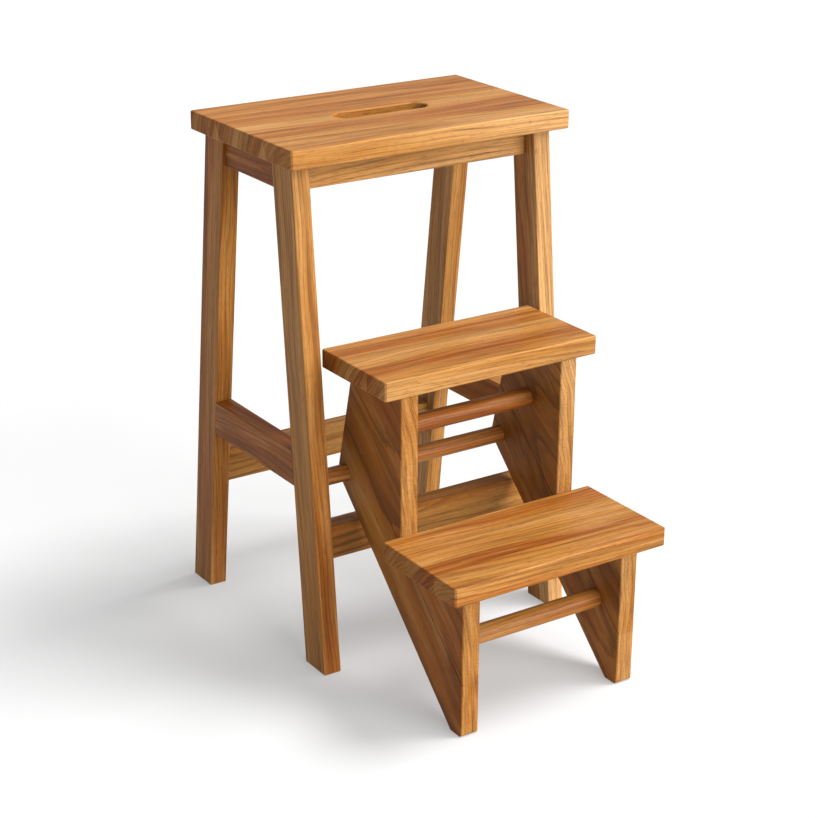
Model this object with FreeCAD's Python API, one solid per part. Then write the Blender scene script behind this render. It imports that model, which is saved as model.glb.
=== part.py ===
import FreeCAD, Part
import math
import os

# Folding step stool: a four-legged stool with a swing-out flight of two treads.
# Millimetres, +X to the stool's right, +Y to its back, +Z up, floor at z = 0.
# The stool's own sizes are measured from the middle of the seat; the finished
# pieces are moved so that the origin is on the floor under the middle of the whole.

# Boards, planed to one thickness
seat_thickness = 22.0
leg_thickness = 22.0
rail_thickness = 22.0
apron_thickness = 22.0
side_apron_thickness = 18.0
tread_thickness = 22.0
panel_thickness = 22.0

# Seat
seat_width = 368.0
seat_depth = 228.0
seat_height = 610.0
hand_slot_length = 122.0
hand_slot_width = 30.0

# Legs: square on the front view, splayed on the side view, the seat reaching past them
leg_depth = 42.5
side_overhang = 12.0
front_overhang = 22.0
rear_overhang = 13.0
front_leg_splay = 57.0
rear_leg_splay = 69.0

# Aprons and rails
apron_height = 34.0
apron_setback = 18.0
side_rail_top = 257.0
side_rail_height = 42.0
rear_rail_top = 182.0
rear_rail_height = 41.0
low_rail_top = 173.0
low_rail_height = 41.0

# Axle, let into the front legs a little nearer to their front faces
axle_diameter = 20.0
axle_height = 229.0
axle_inset = 15.8
axle_edge_distance = 16.0

# Step unit, reaching forward from the axle
tread_side_gap = 8.0
tread_end_overhang = 23.5
upper_tread_top = 379.0
upper_tread_reach = 119.5
upper_tread_behind = 11.0
upper_nosing = 5.0
lower_tread_top = 193.0
lower_tread_reach = 253.5
lower_nosing = 18.5
foot_depth = 22.0
stringer_width = 61.0
heel_inset = 25.0
rung_diameter = 22.0
upper_rung_reach = 52.0
upper_rung_height = 293.0
lower_rung_reach = 191.0
lower_rung_height = 92.5

# Joinery
tenon_thickness = 8.0
tenon_shoulder = 5.0
tenon_length = 14.0
apron_tenon_length = 12.0
side_apron_tenon_length = 6.0
axle_bore_depth = 15.0
rung_bore_depth = 12.0
tongue_thickness = 8.0
tongue_length = 50.0
tongue_height = 30.0
tongue_in_tread = 12.0
tongue_end_distance = 24.0
screw_shank_diameter = 4.0
screw_head_diameter = 8.0
screw_head_height = 3.0
screw_in_seat = 14.0
screw_in_apron = 22.0
screw_end_distance = 60.0
screw_count = 2

# Clearances, rounded edges and chamfers
glue_gap = 0.05
running_gap = 0.06
end_gap = 0.5
edge_ease = 1.8
small_ease = 1.2
edge_chamfer = 1.0
seam_chamfer = 0.9
nose_radius = 12.0
toe_chamfer = 3.0
slot_ease = 2.5

# How far cutting tools reach past the wood, and the gap at which two lines count as one
overrun = 1.0
same = 1e-4

# Worked out from the sizes above
underside = seat_height - seat_thickness
apron_bottom = underside - apron_height
leg_outer = seat_width / 2 - side_overhang
leg_inner = leg_outer - leg_thickness
front_leg_top = seat_depth / 2 - front_overhang
rear_leg_top = seat_depth / 2 - rear_overhang
axle_forward = front_leg_top + front_leg_splay * (1 - axle_height / underside) - axle_inset
axle_point = (-axle_forward, axle_height)
tread_end = leg_inner - tread_side_gap
panel_outer = tread_end - tread_end_overhang
panel_inner = panel_outer - panel_thickness
upper_tread_front = axle_forward + upper_tread_reach
lower_tread_front = axle_forward + lower_tread_reach
upper_tread_back = axle_forward - upper_tread_behind
upper_riser = upper_tread_front - upper_nosing
lower_riser = lower_tread_front - lower_nosing
upper_soffit = upper_tread_top - tread_thickness
lower_soffit = lower_tread_top - tread_thickness
middle_shift = (lower_tread_front - rear_leg_top - rear_leg_splay) / 2


def vec(x, y, z):
    return FreeCAD.Vector(x, y, z)


def slab(low, high):
    """A box between two opposite corners."""
    size = [b - a for a, b in zip(low, high)]
    return Part.makeBox(size[0], size[1], size[2], vec(*low))


def board(outline, x_from, x_to):
    """A board lying in a side plane: its (y, z) outline carried from x_from to x_to."""
    points = [vec(x_from, y, z) for y, z in outline]
    face = Part.Face(Part.makePolygon(points + points[:1]))
    return face.extrude(vec(x_to - x_from, 0, 0))


def side_board(outline, inner, outer, side):
    """The same board on the left (side -1) or the right (side 1)."""
    return board(outline, side * inner, side * outer)


def rod(diameter, length, start, direction):
    return Part.makeCylinder(diameter / 2, length, vec(*start), vec(*direction))


def cross_rod(diameter, reach, point):
    """A round bar along X, as far as reach on each side, through a (y, z) point."""
    return rod(diameter, 2 * reach, (-reach, point[0], point[1]), (1, 0, 0))


def ease(shape, radius, wanted):
    """Rounds the edges for which wanted(edge) holds."""
    edges = [edge for edge in shape.Edges if wanted(edge)]
    return shape.makeFillet(radius, edges) if edges else shape


def bevel(shape, size, wanted):
    """Chamfers the edges for which wanted(edge) holds."""
    edges = [edge for edge in shape.Edges if wanted(edge)]
    return shape.makeChamfer(size, edges) if edges else shape


def plank(low, high):
    """A board with chamfered corners and rounded long edges, between two corners."""
    body = bevel(slab(low, high), edge_ease, lambda e: along(e, 2))
    return ease(body, edge_ease, lambda e: level(e))


def level(edge):
    """True for an edge at one height."""
    box = edge.BoundBox
    return box.ZMax - box.ZMin < same


def along(edge, axis):
    """True for a straight edge along one axis, 0 for X, 1 for Y and 2 for Z."""
    ends = [vertex.Point for vertex in edge.Vertexes]
    if len(ends) != 2:
        return False
    span = [abs(ends[1][i] - ends[0][i]) for i in range(3)]
    return span[axis] > overrun and sum(span) - span[axis] < same


def on_side(edge, first, second):
    """True for an edge that lies on the outline's side from first to second."""
    if along(edge, 0):
        return False
    line = (second[0] - first[0], second[1] - first[1])
    length = math.hypot(*line)
    middle = edge.BoundBox.Center
    gap = (middle.y - first[0], middle.z - first[1])
    offset = abs(line[0] * gap[1] - line[1] * gap[0]) / length
    share = (line[0] * gap[0] + line[1] * gap[1]) / length ** 2
    return offset < same and 0 < share < 1


def at_corner(edge, corner):
    """True for an edge along X through a (y, z) corner of the outline."""
    middle = edge.BoundBox.Center
    return along(edge, 0) and math.dist((middle.y, middle.z), corner) < same


# Leg faces


def leg_face(end, z):
    """How far the leg's outward face stands from the seat's middle at height z."""
    top, splay = {
        "front": (front_leg_top, front_leg_splay),
        "rear": (rear_leg_top, rear_leg_splay),
    }[end]
    return top + splay * (1 - z / underside)


def leg_y(end, z, inward=0.0):
    """The Y of a line that runs down the leg, inward from its outward face."""
    sign = -1 if end == "front" else 1
    return sign * (leg_face(end, z) - inward)


# Aprons and rails


def cross_piece_y(end, low, high):
    """Front and back Y of a rail that is centred in the depth of its two legs."""
    middle = leg_y(end, (low + high) / 2, leg_depth / 2)
    return middle - rail_thickness / 2, middle + rail_thickness / 2


def apron_y(end):
    """Front and back Y of the front or rear apron, set back under the seat."""
    outward = leg_y(end, underside, apron_setback)
    inward = leg_y(end, underside, apron_setback + apron_thickness)
    return min(outward, inward), max(outward, inward)


def cross_tenons(y_pair, z_pair, length, grow=0.0):
    """The two tenons of a piece that runs from leg to leg along X."""
    middle = sum(y_pair) / 2
    reach = leg_inner + length + (end_gap if grow else 0)
    half = tenon_thickness / 2 + grow
    low = z_pair[0] + tenon_shoulder - grow
    high = z_pair[1] - tenon_shoulder + grow
    return slab((-reach, middle - half, low), (reach, middle + half, high))


def cross_rail(y_pair, z_pair, length, eased):
    body = slab((-leg_inner, y_pair[0], z_pair[0]), (leg_inner, y_pair[1], z_pair[1]))
    body = ease(body, small_ease, lambda e: along(e, 0) and eased(e))
    return body.fuse(cross_tenons(y_pair, z_pair, length)).removeSplitter()


def rear_rail():
    low = rear_rail_top - rear_rail_height
    pair = cross_piece_y("rear", low, rear_rail_top)
    return cross_rail(pair, (low, rear_rail_top), tenon_length, lambda e: True)


def low_front_rail():
    low = low_rail_top - low_rail_height
    pair = cross_piece_y("front", low, low_rail_top)
    return cross_rail(pair, (low, low_rail_top), tenon_length, lambda e: True)


def apron(end):
    z_pair = (apron_bottom, underside)
    body = cross_rail(
        apron_y(end), z_pair, apron_tenon_length, lambda e: e.BoundBox.ZMax < underside - same
    )
    middle = sum(apron_y(end)) / 2
    for x in screw_places():
        body = body.cut(screw_hole(x, middle))
    return body


def side_tenons(side, z_pair, middle_x, length, thickness, grow=0.0):
    """Tenons of a piece that runs from the front leg to the rear leg."""
    low = z_pair[0] + tenon_shoulder - grow
    high = z_pair[1] - tenon_shoulder + grow
    level = (low + high) / 2
    reach = leg_depth - length - (end_gap if grow else 0)
    half = thickness / 2 + grow
    return slab(
        (side * middle_x - half, leg_y("front", level, reach), low),
        (side * middle_x + half, leg_y("rear", level, reach), high),
    )


def side_piece(side, z_pair, inner, outer, length, thickness, eased):
    low, high = z_pair
    outline = [
        (leg_y("front", low, leg_depth), low),
        (leg_y("rear", low, leg_depth), low),
        (leg_y("rear", high, leg_depth), high),
        (leg_y("front", high, leg_depth), high),
    ]
    body = side_board(outline, inner, outer, side)
    body = ease(body, small_ease, lambda e: along(e, 1) and eased(e))
    middle_x = (inner + outer) / 2
    tenons = side_tenons(side, z_pair, middle_x, length, thickness)
    return body.fuse(tenons).removeSplitter()


def side_rail(side):
    z_pair = (side_rail_top - side_rail_height, side_rail_top)
    return side_piece(
        side, z_pair, leg_inner, leg_outer, tenon_length, tenon_thickness, lambda e: True
    )


def side_apron(side):
    z_pair = (apron_bottom, underside)
    outer = leg_inner + side_apron_thickness
    return side_piece(
        side,
        z_pair,
        leg_inner,
        outer,
        side_apron_tenon_length,
        tenon_thickness,
        lambda e: e.BoundBox.ZMax < underside - same,
    )


# Legs


def leg_mortises(end, side):
    """Every hole that the aprons and rails need in one leg."""
    aprons = (apron_bottom, underside)
    rails = (side_rail_top - side_rail_height, side_rail_top)
    if end == "front":
        cross = (low_rail_top - low_rail_height, low_rail_top)
    else:
        cross = (rear_rail_top - rear_rail_height, rear_rail_top)
    rail_middle = (leg_inner + leg_outer) / 2
    apron_middle = leg_inner + side_apron_thickness / 2
    return [
        cross_tenons(apron_y(end), aprons, apron_tenon_length, glue_gap),
        cross_tenons(cross_piece_y(end, *cross), cross, tenon_length, glue_gap),
        side_tenons(side, rails, rail_middle, tenon_length, tenon_thickness, glue_gap),
        side_tenons(
            side, aprons, apron_middle, side_apron_tenon_length, tenon_thickness, glue_gap
        ),
    ]


def leg(end, side):
    outline = [
        (leg_y(end, 0), 0),
        (leg_y(end, 0, leg_depth), 0),
        (leg_y(end, underside, leg_depth), underside),
        (leg_y(end, underside), underside),
    ]
    body = side_board(outline, leg_inner, leg_outer, side)
    body = bevel(body, edge_chamfer, lambda e: e.BoundBox.ZMax < same)
    body = ease(body, small_ease, lambda e: e.BoundBox.ZMax > underside - same and not level(e))
    for hole in leg_mortises(end, side):
        body = body.cut(hole)
    if end == "front":
        reach = leg_inner + axle_bore_depth
        body = body.cut(cross_rod(axle_diameter + 2 * running_gap, reach, axle_point))
    return body


# Seat


def stadium(length, width, z, height):
    """An upright slug with round ends, its long way along X."""
    straight = (length - width) / 2
    half = width / 2
    corners = [vec(x, y, z) for x, y in (
        (-straight, -half), (straight, -half), (straight, half), (-straight, half)
    )]
    right = Part.Arc(corners[1], vec(straight + half, 0, z), corners[2])
    left = Part.Arc(corners[3], vec(-straight - half, 0, z), corners[0])
    sides = [
        Part.makeLine(corners[0], corners[1]),
        right.toShape(),
        Part.makeLine(corners[2], corners[3]),
        left.toShape(),
    ]
    return Part.Face(Part.Wire(sides)).extrude(vec(0, 0, height))


def seat():
    body = plank(
        (-seat_width / 2, -seat_depth / 2, underside),
        (seat_width / 2, seat_depth / 2, seat_height),
    )
    slug_height = seat_thickness + 2 * overrun
    slug = stadium(hand_slot_length, hand_slot_width, underside - overrun, slug_height)
    body = body.cut(slug)

    def slot_edge(edge):
        box = edge.BoundBox
        reach_x = max(abs(box.XMin), abs(box.XMax)) - hand_slot_length / 2
        reach_y = max(abs(box.YMin), abs(box.YMax)) - hand_slot_width / 2
        return level(edge) and max(reach_x, reach_y) < same

    body = ease(body, slot_ease, slot_edge)
    for end in ("front", "rear"):
        middle = sum(apron_y(end)) / 2
        for x in screw_places():
            body = body.cut(screw_hole(x, middle))
    return body


# Screws that hold the seat down, driven up through the aprons


def screw_places():
    span = 2 * (leg_inner - screw_end_distance)
    return [-span / 2 + span * i / (screw_count - 1) for i in range(screw_count)]


def screw_hole(x, y):
    """Pilot hole for the shank and a counterbore up from the apron's bottom edge."""
    head = underside - screw_in_apron
    pilot = rod(
        screw_shank_diameter + 2 * glue_gap,
        screw_in_apron + screw_in_seat + end_gap,
        (x, y, head),
        (0, 0, 1),
    )
    bore = rod(
        screw_head_diameter + 2 * end_gap,
        head - apron_bottom + overrun,
        (x, y, apron_bottom - overrun),
        (0, 0, 1),
    )
    return pilot.fuse(bore)


def seat_screws():
    """Pan-head wood screws, each head seated on the floor of its counterbore."""
    screws = []
    head = underside - screw_in_apron
    for end in ("front", "rear"):
        y = sum(apron_y(end)) / 2
        for x in screw_places():
            shank = rod(
                screw_shank_diameter, screw_in_apron + screw_in_seat, (x, y, head), (0, 0, 1)
            )
            cap = rod(
                screw_head_diameter, screw_head_height, (x, y, head - screw_head_height), (0, 0, 1)
            )
            screws.append(shank.fuse(cap).removeSplitter())
    return Part.makeCompound(screws)


# Side panels of the step unit: a slanting stringer with a riser block glued on above
# it for each tread, all sawn to one outline


def offset_way(start, centre, radius, turn):
    """Direction from start that passes the centre at the given distance."""
    away = math.atan2(centre[1] - start[1], centre[0] - start[0])
    swing = math.asin(radius / math.dist(start, centre))
    return math.cos(away + turn * swing), math.sin(away + turn * swing)


def meet(first, first_way, second, second_way):
    """Where two lines cross, each given by a point and a direction."""
    det = first_way[0] * second_way[1] - first_way[1] * second_way[0]
    gap = (second[0] - first[0], second[1] - first[1])
    share = (gap[0] * second_way[1] - gap[1] * second_way[0]) / det
    return first[0] + share * first_way[0], first[1] + share * first_way[1]


def panel_corners():
    """The panel's corners and the glue seam, in the side view.

    Both rear edges pass the axle at the same distance, so they meet in a nose round it.
    """
    heel = (-lower_riser + foot_depth, 0.0)
    top_back = (-upper_tread_back - heel_inset, upper_soffit)
    slope = offset_way(heel, axle_point, axle_edge_distance, -1)
    drop = offset_way(top_back, axle_point, axle_edge_distance, 1)
    return {
        "toe": (-lower_riser, 0.0),
        "heel": heel,
        "nose": meet(heel, slope, top_back, drop),
        "top_back": top_back,
        "upper_front": (-upper_riser, upper_soffit),
        "riser_foot": (-upper_riser, lower_soffit),
        "lower_front": (-lower_riser, lower_soffit),
        "slope": slope,
        "seam": (heel[0] - slope[1] * stringer_width, slope[0] * stringer_width),
    }


def whole_panel(side):
    corners = panel_corners()
    order = ("toe", "heel", "nose", "top_back", "upper_front", "riser_foot", "lower_front")
    return side_board([corners[name] for name in order], panel_inner, panel_outer, side)


def below_seam(side):
    """Everything on the stringer's side of the glue seam."""
    corners = panel_corners()
    way, seam = corners["slope"], corners["seam"]
    far = seat_height
    start = (seam[0] - way[0] * far, seam[1] - way[1] * far)
    stop = (seam[0] + way[0] * far, seam[1] + way[1] * far)
    back = (way[1] * far, -way[0] * far)
    outline = [
        start,
        stop,
        (stop[0] + back[0], stop[1] + back[1]),
        (start[0] + back[0], start[1] + back[1]),
    ]
    return side_board(outline, panel_inner - overrun, panel_outer + overrun, side)


def past_riser(side, forward):
    """Everything in front of the upper riser's face, or everything behind it."""
    far = -seat_height if forward else seat_height
    outline = [
        (-upper_riser, -overrun),
        (-upper_riser, seat_height),
        (far, seat_height),
        (far, -overrun),
    ]
    return side_board(outline, panel_inner - overrun, panel_outer + overrun, side)


def seam_ends():
    """The glue seam's line, from the floor up to the upper tread's underside."""
    corners = panel_corners()
    top = meet(corners["seam"], corners["slope"], corners["upper_front"], (1.0, 0.0))
    return corners["seam"], top


def drilled(panel_piece, side):
    """The piece with the axle's hole, the rungs' blind holes and the tongues' mortises."""
    tools = [cross_rod(axle_diameter + 2 * glue_gap, panel_outer + overrun, axle_point)]
    reach = panel_inner + rung_bore_depth
    for point in rung_points():
        tools.append(cross_rod(rung_diameter + 2 * glue_gap, reach, point))
    tools += [tongue(place, side, glue_gap) for place in tongue_places()]
    for tool in tools:
        panel_piece = panel_piece.cut(tool)
    return panel_piece


def stringer(side):
    corners = panel_corners()
    rear = [("heel", "nose"), ("nose", "top_back"), ("lower_front", "toe")]
    body = whole_panel(side).common(below_seam(side)).removeSplitter()
    body = ease(body, nose_radius, lambda e: at_corner(e, corners["nose"]))
    body = bevel(body, toe_chamfer, lambda e: at_corner(e, corners["toe"]))
    body = bevel(
        body,
        edge_chamfer,
        lambda e: any(on_side(e, corners[a], corners[b]) for a, b in rear),
    )
    body = bevel(body, seam_chamfer, lambda e: on_side(e, *seam_ends()))
    return drilled(body, side)


def riser_block(side, upper):
    corners = panel_corners()
    sides = [("upper_front", "riser_foot"), ("nose", "top_back"), ("lower_front", "toe")]
    body = whole_panel(side).cut(below_seam(side)).common(past_riser(side, not upper))
    body = bevel(
        body.removeSplitter(),
        edge_chamfer,
        lambda e: any(on_side(e, corners[a], corners[b]) for a, b in sides),
    )
    body = bevel(body, seam_chamfer, lambda e: on_side(e, *seam_ends()))
    return drilled(body, side)


# Treads, and the hidden loose tongues that hold them on the panels


def tread_limits(upper):
    """Front Y, back Y, underside and top of a tread."""
    if upper:
        return -upper_tread_front, -upper_tread_back, upper_soffit, upper_tread_top
    return -lower_tread_front, -upper_riser, lower_soffit, lower_tread_top


def tread(upper):
    front, back, low, high = tread_limits(upper)
    body = plank((-tread_end, front, low), (tread_end, back, high))
    for side in (-1, 1):
        for place in tongue_places():
            body = body.cut(tongue(place, side, glue_gap))
    return body


def tongue_places():
    """(back Y, soffit) of each tongue: behind its riser's front, under its tread."""
    return [
        (-upper_riser + tongue_end_distance + tongue_length, upper_soffit),
        (-lower_riser + tongue_end_distance + tongue_length, lower_soffit),
    ]


def tongue(place, side, grow=0.0):
    back, soffit = place
    extra = end_gap if grow else 0
    middle = side * (panel_inner + panel_outer) / 2
    half = tongue_thickness / 2 + grow
    foot = soffit - tongue_height + tongue_in_tread - extra
    return slab(
        (middle - half, back - tongue_length - grow, foot),
        (middle + half, back + grow, soffit + tongue_in_tread + extra),
    )


def tread_tongues():
    places = [(place, side) for side in (-1, 1) for place in tongue_places()]
    return Part.makeCompound([tongue(place, side) for place, side in places])


# Round bars


def rung_points():
    return [
        (-axle_forward - upper_rung_reach, upper_rung_height),
        (-axle_forward - lower_rung_reach, lower_rung_height),
    ]


def rung(point):
    return cross_rod(rung_diameter, panel_inner + rung_bore_depth - end_gap, point)


def axle():
    """Glued in both panels, its bare ends turn in blind bores in the front legs."""
    bar = cross_rod(axle_diameter, leg_inner + axle_bore_depth - end_gap, axle_point)
    return bevel(bar, edge_chamfer, lambda e: e.BoundBox.XMax - e.BoundBox.XMin < same)


def frame_pieces():
    made = {"seat": seat(), "seat_screws": seat_screws()}
    for end in ("front", "rear"):
        made[end + "_apron"] = apron(end)
        for hand, side in (("left", -1), ("right", 1)):
            made[end + "_" + hand + "_leg"] = leg(end, side)
    for hand, side in (("left", -1), ("right", 1)):
        made[hand + "_apron"] = side_apron(side)
        made[hand + "_side_rail"] = side_rail(side)
    made["rear_rail"] = rear_rail()
    made["low_front_rail"] = low_front_rail()
    return made


def step_pieces():
    upper_rung, lower_rung = (rung(point) for point in rung_points())
    made = {
        "axle": axle(),
        "upper_rung": upper_rung,
        "lower_rung": lower_rung,
        "upper_tread": tread(True),
        "lower_tread": tread(False),
        "tread_tongues": tread_tongues(),
    }
    for hand, side in (("left", -1), ("right", 1)):
        made[hand + "_stringer"] = stringer(side)
        made[hand + "_upper_riser"] = riser_block(side, True)
        made[hand + "_lower_riser"] = riser_block(side, False)
    return made


def main():
    os.makedirs("parts", exist_ok=True)
    shapes = frame_pieces() | step_pieces()
    for name, shape in shapes.items():
        shape.translate(vec(0, middle_shift, 0))
        shape.exportStep("parts/" + name + ".step")
        print(name, len(shape.Solids), "solids", round(shape.Volume / 1000, 2), "cm3")
    return shapes


main()
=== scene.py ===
# %% [markdown]
# # A folding step stool in oiled teak
#
# The stool is made of planed boards and round bars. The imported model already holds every
# piece at its real size and place, so this lesson only gives the pieces their wood, and
# sets up the floor, the light and the camera. Loading comes first, because the boards'
# places tell where each one's grain starts.

import math
import bpy
from mathutils import Matrix, Vector


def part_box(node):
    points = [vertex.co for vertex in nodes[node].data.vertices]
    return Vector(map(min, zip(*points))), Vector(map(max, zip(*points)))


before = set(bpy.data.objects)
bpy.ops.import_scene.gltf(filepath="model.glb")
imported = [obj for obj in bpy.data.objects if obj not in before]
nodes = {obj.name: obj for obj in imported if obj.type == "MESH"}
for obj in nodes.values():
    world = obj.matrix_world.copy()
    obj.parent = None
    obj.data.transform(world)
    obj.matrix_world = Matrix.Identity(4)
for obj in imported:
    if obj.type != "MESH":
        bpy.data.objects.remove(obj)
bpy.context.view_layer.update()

# %% [markdown]
# ## Colours of the wood
#
# A colour picked from a wood sample is an sRGB value, written as hex. Blender's shaders
# count in linear light, so one function turns the first into the second. Teak runs from
# the pale sapwood under the bark to nut brown heartwood, with dark mineral streaks.


# %% From sRGB hex to linear light
def linear(hex_colour):
    channels = [int(hex_colour[i:i + 2], 16) / 255 for i in (1, 3, 5)]
    return [c / 12.92 if c <= 0.04045 else ((c + 0.055) / 1.055) ** 2.4 for c in channels] + [1.0]


SAPWOOD = linear("#be8f58")
HONEY = linear("#a87234")
AMBER = linear("#98591f")
NUT_BROWN = linear("#7a3b0d")
DARK_STREAK = linear("#4a200c")
GLUE_LINE = linear("#3f210d")
print("honey in linear light:", [round(c, 3) for c in HONEY])

# %% [markdown]
# ## One helper for shader nodes
#
# Every material below is a small network. The helper adds one node of any kind, gives it
# its settings, and fills its sockets with plain values or with the output of another node.
# A network then reads as a list of steps.


# %% Add a node with its settings and links
def add(tree, kind, settings=None, sockets=None):
    node = tree.nodes.new("ShaderNode" + kind)
    settings = dict(settings or {})
    for place, colour in settings.pop("stops", ()):
        element = node.color_ramp.elements.new(place)
        element.color = colour if isinstance(colour, list) else (colour, colour, colour, 1.0)
    if kind == "ValToRGB":
        ends = node.color_ramp.elements
        ends.remove(ends[-1])
        ends.remove(ends[0])
    for name, value in settings.items():
        setattr(node, name, value)
    for key, value in (sockets or {}).items():
        if isinstance(value, bpy.types.Node):
            value = next(output for output in value.outputs if output.enabled)
        if isinstance(value, bpy.types.NodeSocket):
            tree.links.new(node.inputs[key], value)
        else:
            node.inputs[key].default_value = value
    return node


# The Mix node's sockets for colours: how much, the colour below and the colour on top.
SHARE, BELOW, ABOVE = 0, 6, 7
PAINT = {"data_type": "RGBA", "blend_type": "MIX"}
STAIN = {"data_type": "RGBA", "blend_type": "MULTIPLY"}
MM = 0.001

# %% [markdown]
# ## The direction of the grain
#
# A board is sawn along the trunk, so its fibres run the long way. On a leg they follow its
# slope, on the slanting side panels they run from the feet up to the axle. Each board gets
# its own little coordinate system: X along the fibres, Y across the board, Z through it.
# The pattern is then a solid one, as in real wood: faces, edges and ends all cut through
# the same rings. An image wrapped round the board would break at each edge.


# %% A board's own coordinates
def board_axes(along, through):
    along = Vector(along).normalized()
    through = Vector(through)
    through = (through - along * through.dot(along)).normalized()
    across = through.cross(along)
    return Matrix((along, across, through)).transposed().to_euler()


def board_place(tree, name, along, through):
    low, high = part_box(name)
    turned = {"Location": (low + high) / 2, "Rotation": board_axes(along, through)}
    place = add(tree, "TexCoord").outputs["Object"]
    return add(tree, "Mapping", {"vector_type": "TEXTURE"}, {"Vector": place, **turned})


# %% [markdown]
# ## Staves
#
# A wide board such as the seat is glued up from narrower staves, each from another place in
# the trunk. A stave's number is how many glue lines lie below it. A random vector that
# belongs to the number moves the pattern, so the rings break at each glue line.


# %% Which stave a point lies in, and how near the glue is
def staves(tree, place, glue_lines, seed):
    across = add(tree, "SeparateXYZ", {}, {0: place}).outputs["Y"]
    number = add(tree, "Math", {"operation": "ADD"}, {0: seed, 1: 0.0})
    nearness = add(tree, "Math", {"operation": "ADD"}, {0: 1.0, 1: 0.0})
    for line in glue_lines:
        past = add(tree, "Math", {"operation": "GREATER_THAN"}, {0: across, 1: line * MM})
        number = add(tree, "Math", {"operation": "ADD"}, {0: number, 1: past})
        gap = add(tree, "Math", {"operation": "SUBTRACT"}, {0: across, 1: line * MM})
        gap = add(tree, "Math", {"operation": "ABSOLUTE"}, {0: gap})
        nearness = add(tree, "Math", {"operation": "MINIMUM"}, {0: nearness, 1: gap})
    return number, nearness


def moved_by_stave(tree, place, number):
    dice = add(tree, "TexWhiteNoise", {"noise_dimensions": "1D"}, {"W": number})
    reach = (1.7, 0.05, 0.03)
    move = {0: dice.outputs["Color"], 1: reach, 2: place}
    return add(tree, "VectorMath", {"operation": "MULTIPLY_ADD"}, move), dice.outputs["Value"]


# %% [markdown]
# ## Fibres
#
# Whatever grows in a trunk is long and thin: fibres, pores, streaks of minerals, bands of
# darker years. All of them are noise, stretched along the grain. A length and a width in
# millimetres say which one it is.


# %% Noise stretched along the grain
def grown(tree, wood, length, width, detail=2.0, roughness=0.5):
    scale = (1 / (length * MM), 1 / (width * MM), 1 / (width * MM))
    stretched = add(tree, "VectorMath", {"operation": "MULTIPLY"}, {0: wood, 1: scale})
    look = {"Scale": 1.0, "Detail": detail, "Roughness": roughness}
    return add(tree, "TexNoise", {}, {"Vector": stretched, **look})


# %% [markdown]
# ## Growth rings
#
# A trunk grows a ring a year round its heart. A board is a cut beside the heart, so the
# rings show as long lines, or as pointed arches where the trunk tapers, and as arcs on the
# board's ends. The distance from the heart is worked out first, in a trunk that slow noise
# bends a little. Divided by the width of a ring, it counts the years, and quick noise makes
# the lines ragged, as pores do. The same distance also gives coordinates in which whatever
# follows the rings is flat, such as streaks and bands of colour.


# %% Distance from the heart, and layers that follow the rings
def ring_layers(tree, wood, heart, taper):
    bend = grown(tree, wood, 380, 110, 2.0, 0.45).outputs["Color"]
    sideways = {0: bend, 1: (0.0, 0.030, 0.030), 2: wood}
    bent = add(tree, "VectorMath", {"operation": "MULTIPLY_ADD"}, sideways)
    x, y, z = add(tree, "SeparateXYZ", {}, {0: bent}).outputs
    y = add(tree, "Math", {"operation": "ADD"}, {0: y, 1: heart[0] * MM})
    z = add(tree, "Math", {"operation": "MULTIPLY_ADD"}, {0: x, 1: taper, 2: z})
    z = add(tree, "Math", {"operation": "ADD"}, {0: z, 1: heart[1] * MM})
    section = add(tree, "CombineXYZ", {}, {"Y": y, "Z": z})
    distance = add(tree, "VectorMath", {"operation": "LENGTH"}, {0: section})
    round_trunk = add(tree, "Math", {"operation": "MULTIPLY"}, {0: y, 1: 0.15})
    layers = add(tree, "CombineXYZ", {}, {"X": x, "Y": distance, "Z": round_trunk})
    return distance, layers


# %% Years counted from the heart
def years(tree, wood, distance, ring_width):
    count = add(tree, "Math", {"operation": "DIVIDE"}, {0: distance, 1: ring_width * MM})
    ragged = grown(tree, wood, 60, 4, 3.0, 0.6)
    uneven = grown(tree, wood, 1600, 38, 1.0, 0.5)
    count = add(tree, "Math", {"operation": "MULTIPLY_ADD"}, {0: ragged, 1: 0.35, 2: count})
    return add(tree, "Math", {"operation": "MULTIPLY_ADD"}, {0: uneven, 1: 3.0, 2: count})


# %% [markdown]
# ## Sapwood along one edge
#
# A board sawn near the bark keeps a strip of pale sapwood along one edge. Its limit wanders.
# On the seat the strip fades in from the left end towards the right, a painted highlight in
# sapwood's colour. On the panels, faces cut across the fibres, most of all the fronts, are
# painted paler than the sides: a painted sheen where they face the front light.


# %% How much sapwood and painted highlight there is at a point, and how far a face is cut across the fibres
def sapwood_and_highlight_strip(tree, place, wood, start, end, share, painted_highlight_span=None):
    x, y, z = add(tree, "SeparateXYZ", {}, {0: place}).outputs
    wander = grown(tree, wood, 260, 14, 2.0, 0.5)
    wander = add(tree, "Math", {"operation": "SUBTRACT"}, {0: wander, 1: 0.5})
    y = add(tree, "Math", {"operation": "MULTIPLY_ADD"}, {0: wander, 1: 30 * MM, 2: y})
    fade = {"From Min": start * MM, "From Max": end * MM, "To Max": share}
    strip = add(tree, "MapRange", {}, {"Value": y, **fade})
    if not painted_highlight_span:
        return strip
    # Painted highlight: the strip fades in along the board, on the seat towards its right end.
    widen = {"From Min": painted_highlight_span[0] * MM, "From Max": painted_highlight_span[1] * MM}
    widen = add(tree, "MapRange", {}, {"Value": x, **widen})
    return add(tree, "Math", {"operation": "MULTIPLY"}, {0: strip, 1: widen})


def cut_across(tree, along):
    normal = add(tree, "TexCoord").outputs["Normal"]
    fibres_way = Vector(along).normalized()
    cut = add(tree, "VectorMath", {"operation": "DOT_PRODUCT"}, {0: normal, 1: fibres_way})
    return add(tree, "Math", {"operation": "ABSOLUTE"}, {0: cut})


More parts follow.
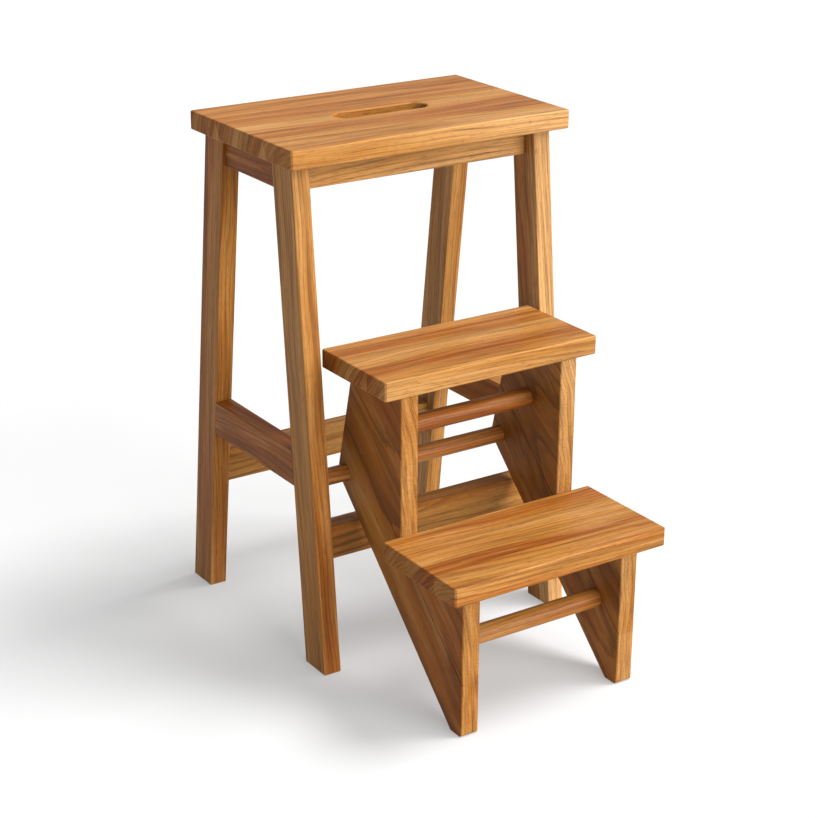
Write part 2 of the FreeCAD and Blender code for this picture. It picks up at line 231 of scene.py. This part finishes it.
# %% [markdown]
# ## Colour of the teak
#
# The tone goes from sapwood to nut brown in bands a few centimetres wide. Each ring starts
# with a row of open pores, which shows as a thin dark line, and no two years are equally
# dark. Streaks of minerals, 4 to 7 mm wide, cross the rings' tones, and paler streaks lie
# between them. Fine fibres and pores come last; real pores are 0.3 mm wide, too fine to
# show here, so they are drawn 0.7 mm wide.


# %% Bands, rings and streaks
def banded(tree, layers, count, dice, darkness, paleness):
    band = grown(tree, layers, 900, 30, 2.0, 0.5)
    band = add(tree, "Math", {"operation": "MULTIPLY_ADD"}, {0: dice, 1: 0.08, 2: band})
    band = add(tree, "Math", {"operation": "ADD"}, {0: band, 1: darkness - 0.04})
    for pale in paleness:
        band = add(tree, "Math", {"operation": "SUBTRACT"}, {0: band, 1: pale})
    tones = [(0.20, SAPWOOD), (0.44, HONEY), (0.58, AMBER), (0.80, NUT_BROWN)]
    colour = add(tree, "ValToRGB", {"stops": tones}, {0: band})
    part = add(tree, "Math", {"operation": "FRACT"}, {0: count})
    year = add(tree, "Math", {"operation": "FLOOR"}, {0: count})
    line = [(0.0, 0.20), (0.16, 0.36), (0.36, 1.0), (0.76, 0.88), (1.0, 0.46)]
    line = add(tree, "ValToRGB", {"stops": line}, {0: part})
    colour = add(tree, "Mix", STAIN, {SHARE: 0.46, BELOW: colour, ABOVE: line})
    luck = add(tree, "TexWhiteNoise", {"noise_dimensions": "1D"}, {"W": year})
    luck = add(tree, "ValToRGB", {"stops": [(0.0, 0.55), (0.35, 0.92), (1.0, 1.0)]}, {0: luck})
    return add(tree, "Mix", STAIN, {SHARE: 0.42, BELOW: colour, ABOVE: luck})


def streaked(tree, layers, colour):
    streak = grown(tree, layers, 170, 5, 3.0, 0.6)
    dark = add(tree, "ValToRGB", {"stops": [(0.50, 0.0), (0.70, 0.50)]}, {0: streak})
    pale = add(tree, "ValToRGB", {"stops": [(0.32, 0.36), (0.47, 0.0)]}, {0: streak})
    colour = add(tree, "Mix", PAINT, {SHARE: dark, BELOW: colour, ABOVE: DARK_STREAK})
    return add(tree, "Mix", PAINT, {SHARE: pale, BELOW: colour, ABOVE: SAPWOOD})


# %% Fibres and pores
def fibrous(tree, wood, colour):
    fibre = grown(tree, wood, 130, 1.7, 2.0, 0.6)
    shade = add(tree, "ValToRGB", {"stops": [(0.30, 0.60), (0.62, 1.0)]}, {0: fibre})
    colour = add(tree, "Mix", STAIN, {SHARE: 0.6, BELOW: colour, ABOVE: shade})
    pore = grown(tree, wood, 13, 0.7, 1.0, 0.5)
    pore = add(tree, "ValToRGB", {"stops": [(0.60, 0.0), (0.70, 0.5)]}, {0: pore})
    colour = add(tree, "Mix", PAINT, {SHARE: pore, BELOW: colour, ABOVE: DARK_STREAK})
    return colour, fibre, pore


# %% [markdown]
# ## Glue lines and sapwood
#
# A glue line is a thin dark seam, which shows less where the face is cut across the fibres.
# Where two staves of the seat meet, a little sapwood is left on the underside, and it shows
# on the seat's end as a pale wedge.


# %% Seams and wedges
def seamed(tree, colour, nearness, cut):
    near = {"From Min": 0.2 * MM, "From Max": 0.8 * MM, "To Min": 0.5, "To Max": 0.0}
    seam = add(tree, "MapRange", {}, {"Value": nearness, **near})
    along = add(tree, "Math", {"operation": "SUBTRACT"}, {0: 1.0, 1: cut})
    seam = add(tree, "Math", {"operation": "MULTIPLY"}, {0: seam, 1: along})
    return add(tree, "Mix", PAINT, {SHARE: seam, BELOW: colour, ABOVE: GLUE_LINE})


def wedged(tree, place, colour, nearness, thickness):
    z = add(tree, "SeparateXYZ", {}, {0: place}).outputs["Z"]
    half = {0: z, 1: -0.5, 2: 0.25 * thickness * MM}
    half = add(tree, "Math", {"operation": "MULTIPLY_ADD"}, half)
    inside = add(tree, "Math", {"operation": "SUBTRACT"}, {0: half, 1: nearness})
    edge = {"From Min": 0.0, "From Max": 2.0 * MM, "To Max": 0.45}
    wedge = add(tree, "MapRange", {}, {"Value": inside, **edge})
    return add(tree, "Mix", PAINT, {SHARE: wedge, BELOW: colour, ABOVE: SAPWOOD})


# %% [markdown]
# ## Teak, planed, sanded and oiled
#
# Oil and wax leave a satin skin on sanded wood: its IOR is near 1.45 and its roughness near
# 0.5, a little lower where the wood is dense. The oil has sunk in, so only part of the
# surface shines, and the specular level is a quarter of a varnish's. Ends drink more oil and
# are darker and duller. Pores are tiny furrows that the bump cuts a tenth of a millimetre deep.


# %% The surface of a teak board
def oiled(tree, colour, fibre, pore, cut, shine):
    end = add(tree, "Math", {"operation": "POWER"}, {0: cut, 1: 4.0})
    soaked = add(tree, "Math", {"operation": "MULTIPLY"}, {0: end, 1: 0.25})
    soak = {SHARE: soaked, BELOW: colour, ABOVE: linear("#b78a63")}
    colour = add(tree, "Mix", STAIN, soak)
    rough = add(tree, "Math", {"operation": "MULTIPLY_ADD"}, {0: fibre, 1: 0.18, 2: 0.38})
    rough = add(tree, "Math", {"operation": "MULTIPLY_ADD"}, {0: end, 1: 0.12, 2: rough})
    relief = add(tree, "Math", {"operation": "MULTIPLY"}, {0: fibre, 1: 0.5})
    relief = add(tree, "Math", {"operation": "MULTIPLY_ADD"}, {0: pore, 1: -1.2, 2: relief})
    bump = {"Strength": 0.35, "Distance": 0.12 * MM, "Height": relief}
    bump = add(tree, "Bump", {}, bump)
    gloss = {"IOR": 1.45, "Specular IOR Level": shine}
    skin = {"Base Color": colour, "Roughness": rough, "Normal": bump, **gloss}
    return add(tree, "BsdfPrincipled", {}, skin)


# %% One board's teak, from its coordinates to its skin
def teak(name, along, through, heart, seed, taper=0.02, ring_width=4.6, glue_lines=(),
         wedge=0, darkness=0.0, sapwood=None, painted_sheen_on_cuts=0.0, shine=0.12, same_log=None):
    material = bpy.data.materials.new("oiled_teak_" + name)
    material.use_nodes = True
    tree = material.node_tree
    tree.nodes.clear()
    place = board_place(tree, same_log or name, along, through)
    number, nearness = staves(tree, place, glue_lines, seed)
    wood, dice = moved_by_stave(tree, place, seed if same_log else number)
    distance, layers = ring_layers(tree, wood, heart, taper)
    count = years(tree, wood, distance, ring_width)
    cut = cut_across(tree, along)
    paleness = [sapwood_and_highlight_strip(tree, place, wood, *sapwood)] if sapwood else []
    # Painted sheen: faces cut across the fibres, most of all the panels' fronts facing the front
    # light, are made paler.
    if painted_sheen_on_cuts:
        paleness.append(add(tree, "Math", {"operation": "MULTIPLY"}, {0: cut, 1: painted_sheen_on_cuts}))
    colour = banded(tree, layers, count, dice, darkness, paleness)
    colour = streaked(tree, layers, colour)
    colour, fibre, pore = fibrous(tree, wood, colour)
    if wedge:
        colour = wedged(tree, place, colour, nearness, wedge)
    if glue_lines:
        colour = seamed(tree, colour, nearness, cut)
    skin = oiled(tree, colour, fibre, pore, cut, shine)
    add(tree, "OutputMaterial", {}, {"Surface": skin})
    return material


def dress(name, material):
    slots = nodes[name].data.materials
    slots.clear()
    slots.append(material)


# %% [markdown]
# ## Seat and treads
#
# The flat boards that carry a person run from side to side, which is also the stronger way.
# The seat is glued up from three staves and each tread from two; the glue lines sit where
# the pattern breaks on the boards' left ends. The seat's front gets a pale strip in sapwood's
# colour that fades in towards the right: a painted highlight. The upper tread's front edge has
# a trace of sapwood. All places are in
# millimetres from the board's middle.

# %% Dress the flat boards
UP = (0, 0, 1)
RIGHT = (1, 0, 0)
BACK = (0, 1, 0)
flat_boards = {
    "seat": dict(
        heart=(150, 60), seed=3.0, glue_lines=(-52, 53), wedge=22, darkness=0.02,
        # The fourth entry fades the pale strip in towards the right: a painted highlight.
        sapwood=(-90, -114, 0.28, (-100, 140)),
    ),
    "upper_tread": dict(
        heart=(110, 60), seed=11.0, glue_lines=(-28,), taper=0.04,
        sapwood=(-44, -62, 0.12),
    ),
    "lower_tread": dict(
        heart=(90, 60), seed=23.0, glue_lines=(-30,), taper=0.05, darkness=0.05,
    ),
}
for name, cut in flat_boards.items():
    dress(name, teak(name, RIGHT, UP, **cut))
for name in flat_boards:
    low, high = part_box(name)
    print(name, [round(side / MM, 1) for side in high - low], "mm")

# %% [markdown]
# ## Legs, aprons and rails
#
# The leg's fibres follow its slope. The rails' run along each rail. Every piece comes from
# another board, so each has its own seed and its own distance from the heart: far from it
# the lines are straight, near it they curve. No two boards are equally dark, so a small
# number after each name moves its tones towards nut brown, or towards sapwood where it is
# negative. On the left apron and left side rail the number is higher than on the right
# ones: painted shade for their shaded left sides.

# %% Dress the frame
front_slope = (0, 57, 588)
rear_slope = (0, -69, 588)
legs = {
    "front_left_leg": dict(heart=(50, 60), seed=31.0, darkness=-0.08),
    "front_right_leg": dict(heart=(12, 69), seed=38.0, darkness=0.06, sapwood=(2, 14, 0.32)),
    "rear_left_leg": dict(heart=(55, 50), seed=45.0),
    "rear_right_leg": dict(heart=(10, 87), seed=52.0, sapwood=(0, 12, 0.14)),
}
for name, cut in legs.items():
    slope = front_slope if name.startswith("front") else rear_slope
    dress(name, teak(name, slope, RIGHT, ring_width=3.6, **cut))
cross_pieces = {
    "front_apron": -0.14,
    "rear_apron": 0.0,
    "rear_rail": 0.0,
    "low_front_rail": 0.02,
}
for number, (name, darkness) in enumerate(cross_pieces.items()):
    cut = dict(heart=(14, 66 + 8 * number), seed=61.0 + 5 * number, darkness=darkness)
    dress(name, teak(name, RIGHT, BACK, **cut))
# The left pieces are set darker than the right ones: painted shade for their shaded left sides.
side_pieces = {
    "left_apron": 0.2,
    "right_apron": 0.1,
    "left_side_rail": 0.24,
    "right_side_rail": 0.1,
}
for number, (name, darkness) in enumerate(side_pieces.items()):
    cut = dict(heart=(12, 58 + 10 * number), seed=91.0 + 5 * number, darkness=darkness)
    dress(name, teak(name, BACK, RIGHT, **cut))
print("frame pieces dressed:", len(legs) + len(cross_pieces) + len(side_pieces))

# %% [markdown]
# ## Side panels of the steps
#
# Each panel is glued up from a slanting stringer and two riser blocks. All their fibres run
# parallel to the stringer, so the feet and the nose at the axle are strong. The three come
# from one log, so the rings run on across the seam. The first number after each name is its
# darkness, higher on the left panels as painted shade for their shaded sides. The second says
# how much paler its slanting cuts, such as the panel's front, are painted: a painted sheen
# for the fronts that face the front light.

# %% Dress the panels
panel_slope = (0, 0.72, 0.70)
# The left panels are set darker than the right ones: painted shade for their shaded left sides.
panels = {
    "left_stringer": (0.12, 0.28),
    "left_upper_riser": (0.14, 0.26),
    "left_lower_riser": (0.12, 0.28),
    "right_stringer": (0.00, 0.22),
    "right_upper_riser": (-0.04, 0.20),
    "right_lower_riser": (0.02, 0.14),
}


def seam_place(stringer):
    """How far the glue seam lies from the middle of the stringer's box, across its grain."""
    low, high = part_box(stringer)
    across = Vector(RIGHT).cross(Vector(panel_slope)).normalized()
    points = nodes[stringer].data.vertices
    return max((point.co - (low + high) / 2).dot(across) for point in points) / MM


for name, (darkness, painted_sheen_on_cuts) in panels.items():
    stringer = name.split("_")[0] + "_stringer"
    seam = seam_place(stringer)
    log = dict(heart=(-60, 400), seed=131.0 if stringer == "left_stringer" else 140.0)
    cut = dict(glue_lines=(seam,), darkness=darkness, painted_sheen_on_cuts=painted_sheen_on_cuts, same_log=stringer)
    dress(name, teak(name, panel_slope, RIGHT, **cut, **log))
print("panels:", len(panels), "pieces, seam at", round(seam, 2), "mm")

# %% [markdown]
# ## Round bars and loose tongues
#
# The axle and rungs are turned or drawn through a round cutter from straight-grained
# stock, and shine a little more than the boards. The axle is the darkest, the lower rung the
# palest. The tongues that hold the treads are hidden in their mortises.

# %% Dress the round bars
round_bars = {"axle": 0.10, "upper_rung": -0.06, "lower_rung": -0.12}
for number, (name, darkness) in enumerate(round_bars.items()):
    cut = dict(heart=(8, 40), seed=201.0 + 3 * number, ring_width=3.0, darkness=darkness)
    dress(name, teak(name, RIGHT, UP, shine=0.25, **cut))
dress("tread_tongues", teak("tread_tongues", UP, RIGHT, heart=(5, 50), seed=221.0))
print("round bars and tongues dressed")

# %% [markdown]
# ## Screws
#
# Pan-head wood screws, cold-formed from steel wire and zinc plated. The plating is a pale
# metal with a dull, slightly mottled shine; the heads sit deep in counterbores in the aprons.


# %% Zinc-plated steel
def zinc_plated_steel():
    material = bpy.data.materials.new("zinc_plated_steel")
    material.use_nodes = True
    tree = material.node_tree
    tree.nodes.clear()
    place = add(tree, "TexCoord").outputs["Object"]
    mottle = add(tree, "TexNoise", {}, {"Vector": place, "Scale": 900.0, "Detail": 3.0})
    plating = [(0.3, linear("#a9aaa6")), (0.7, linear("#c9cac4"))]
    colour = add(tree, "ValToRGB", {"stops": plating}, {0: mottle})
    rough = add(tree, "Math", {"operation": "MULTIPLY_ADD"}, {0: mottle, 1: 0.25, 2: 0.22})
    bump = add(tree, "Bump", {}, {"Strength": 0.2, "Distance": 0.03 * MM, "Height": mottle})
    skin = {"Metallic": 1.0, "Base Color": colour, "Roughness": rough, "Normal": bump}
    add(tree, "OutputMaterial", {}, {"Surface": add(tree, "BsdfPrincipled", {}, skin)})
    return material


dress("seat_screws", zinc_plated_steel())
print("screws plated")

# %% [markdown]
# ## Floor
#
# A photo studio's sweep is matt white. A large plane does the same job here; it isn't part of
# the stool. It is a translucent sheet that is also lit a little from below, as on a light
# table, which keeps the shadows pale and grey.


# %% White sheet, lit from below
def lit_sheet():
    material = bpy.data.materials.new("matt_white_acrylic_sheet")
    material.use_nodes = True
    tree = material.node_tree
    tree.nodes.clear()
    place = add(tree, "TexCoord").outputs["Object"]
    tooth = add(tree, "TexNoise", {}, {"Vector": place, "Scale": 240.0, "Detail": 2.0})
    bump = add(tree, "Bump", {}, {"Strength": 0.05, "Distance": 0.1 * MM, "Height": tooth})
    white = {"Base Color": linear("#9c9c9c"), "Roughness": 0.85, "Specular IOR Level": 0.1}
    glow = {"Emission Color": (1.0, 1.0, 1.0, 1.0), "Emission Strength": 0.33}
    skin = add(tree, "BsdfPrincipled", {}, {"Normal": bump, **white, **glow})
    add(tree, "OutputMaterial", {}, {"Surface": skin})
    return material


floor_mesh = bpy.data.meshes.new("floor")
half = 12.0
corners = [(-half, -half, 0), (half, -half, 0), (half, half, 0), (-half, half, 0)]
floor_mesh.from_pydata(corners, [], [(0, 1, 2, 3)])
floor = bpy.data.objects.new("floor", floor_mesh)
bpy.context.scene.collection.objects.link(floor)
floor_mesh.materials.append(lit_sheet())
print("floor:", 2 * half, "m square")

# %% [markdown]
# ## Light
#
# The shadows fall softly to the left and the stool's left sides are dark, so one wide light
# hangs high on the right. A second one, low in front, keeps the fronts of the boards nearly
# as bright as the tops. Both are suns with a wide disc: they light the whole floor evenly,
# as large softboxes far away do, and the disc's width softens the shadows. The surround is
# white near the horizon and pale above it, but darker on the left, where the studio has no
# reflector.


# %% Studio lights
def studio_light(name, way, disc_degrees, strength):
    data = bpy.data.lights.new(name, "SUN")
    data.angle = math.radians(disc_degrees)
    data.energy = strength
    light = bpy.data.objects.new(name, data)
    light.rotation_euler = Vector(way).to_track_quat("Z", "Y").to_euler()
    bpy.context.scene.collection.objects.link(light)
    return light


studio_light("high_right_light", (0.46, -0.20, 0.86), 24, 4.45)
studio_light("low_front_light", (0.25, -0.90, 0.36), 50, 4.3)

# %% Pale surround, darker on the left
world = bpy.data.worlds.new("pale_surround")
world.use_nodes = True
sky = world.node_tree
way = add(sky, "SeparateXYZ", {}, {0: add(sky, "TexCoord").outputs["Generated"]})
side = {"From Min": -0.9, "From Max": 0.6, "To Min": 0.15, "To Max": 0.62}
strength = add(sky, "MapRange", {}, {"Value": way.outputs["X"], **side})
low = {"From Min": 0.16, "From Max": 0.24, "To Min": 1.0, "To Max": 0.0}
low = add(sky, "MapRange", {}, {"Value": way.outputs["Z"], **low})
strength = add(sky, "Math", {"operation": "MAXIMUM"}, {0: strength, 1: low})
sky.links.new(sky.nodes["Background"].inputs["Strength"], strength.outputs[0])
sky.nodes["Background"].inputs["Color"].default_value = (1.0, 1.0, 1.0, 1.0)
bpy.context.scene.world = world
bpy.context.scene.view_settings.view_transform = "Standard"
print("lights and surround set")

# %% [markdown]
# ## Camera
#
# The camera stands in front of the stool, to its left and above it, where lines drawn along
# the stool's edges in the photograph put it. Its angles come from the same lines.

# %% Camera at the photograph's angle
IMAGE_SIDE = 818
focal_px = 1966.04
yaw, pitch, roll = (math.radians(a) for a in (-33.641, -21.494, 0.308))
look = Vector((-math.sin(yaw) * math.cos(pitch), math.cos(yaw) * math.cos(pitch), math.sin(pitch)))
level_right = Vector((math.cos(yaw), math.sin(yaw), 0.0))
level_up = level_right.cross(look)
right = math.cos(roll) * level_right + math.sin(roll) * level_up
up = -math.sin(roll) * level_right + math.cos(roll) * level_up
lens = bpy.data.cameras.new("camera")
lens.sensor_width = 36.0
lens.lens = focal_px / IMAGE_SIDE * lens.sensor_width
lens.clip_end = 60.0
camera = bpy.data.objects.new("camera", lens)
turned = Matrix((right, up, -look)).transposed().to_4x4()
camera.matrix_world = Matrix.Translation((-1.193977, -1.759067, 1.113137)) @ turned
bpy.context.scene.collection.objects.link(camera)
bpy.context.scene.camera = camera
print("lens:", round(lens.lens, 1), "mm")
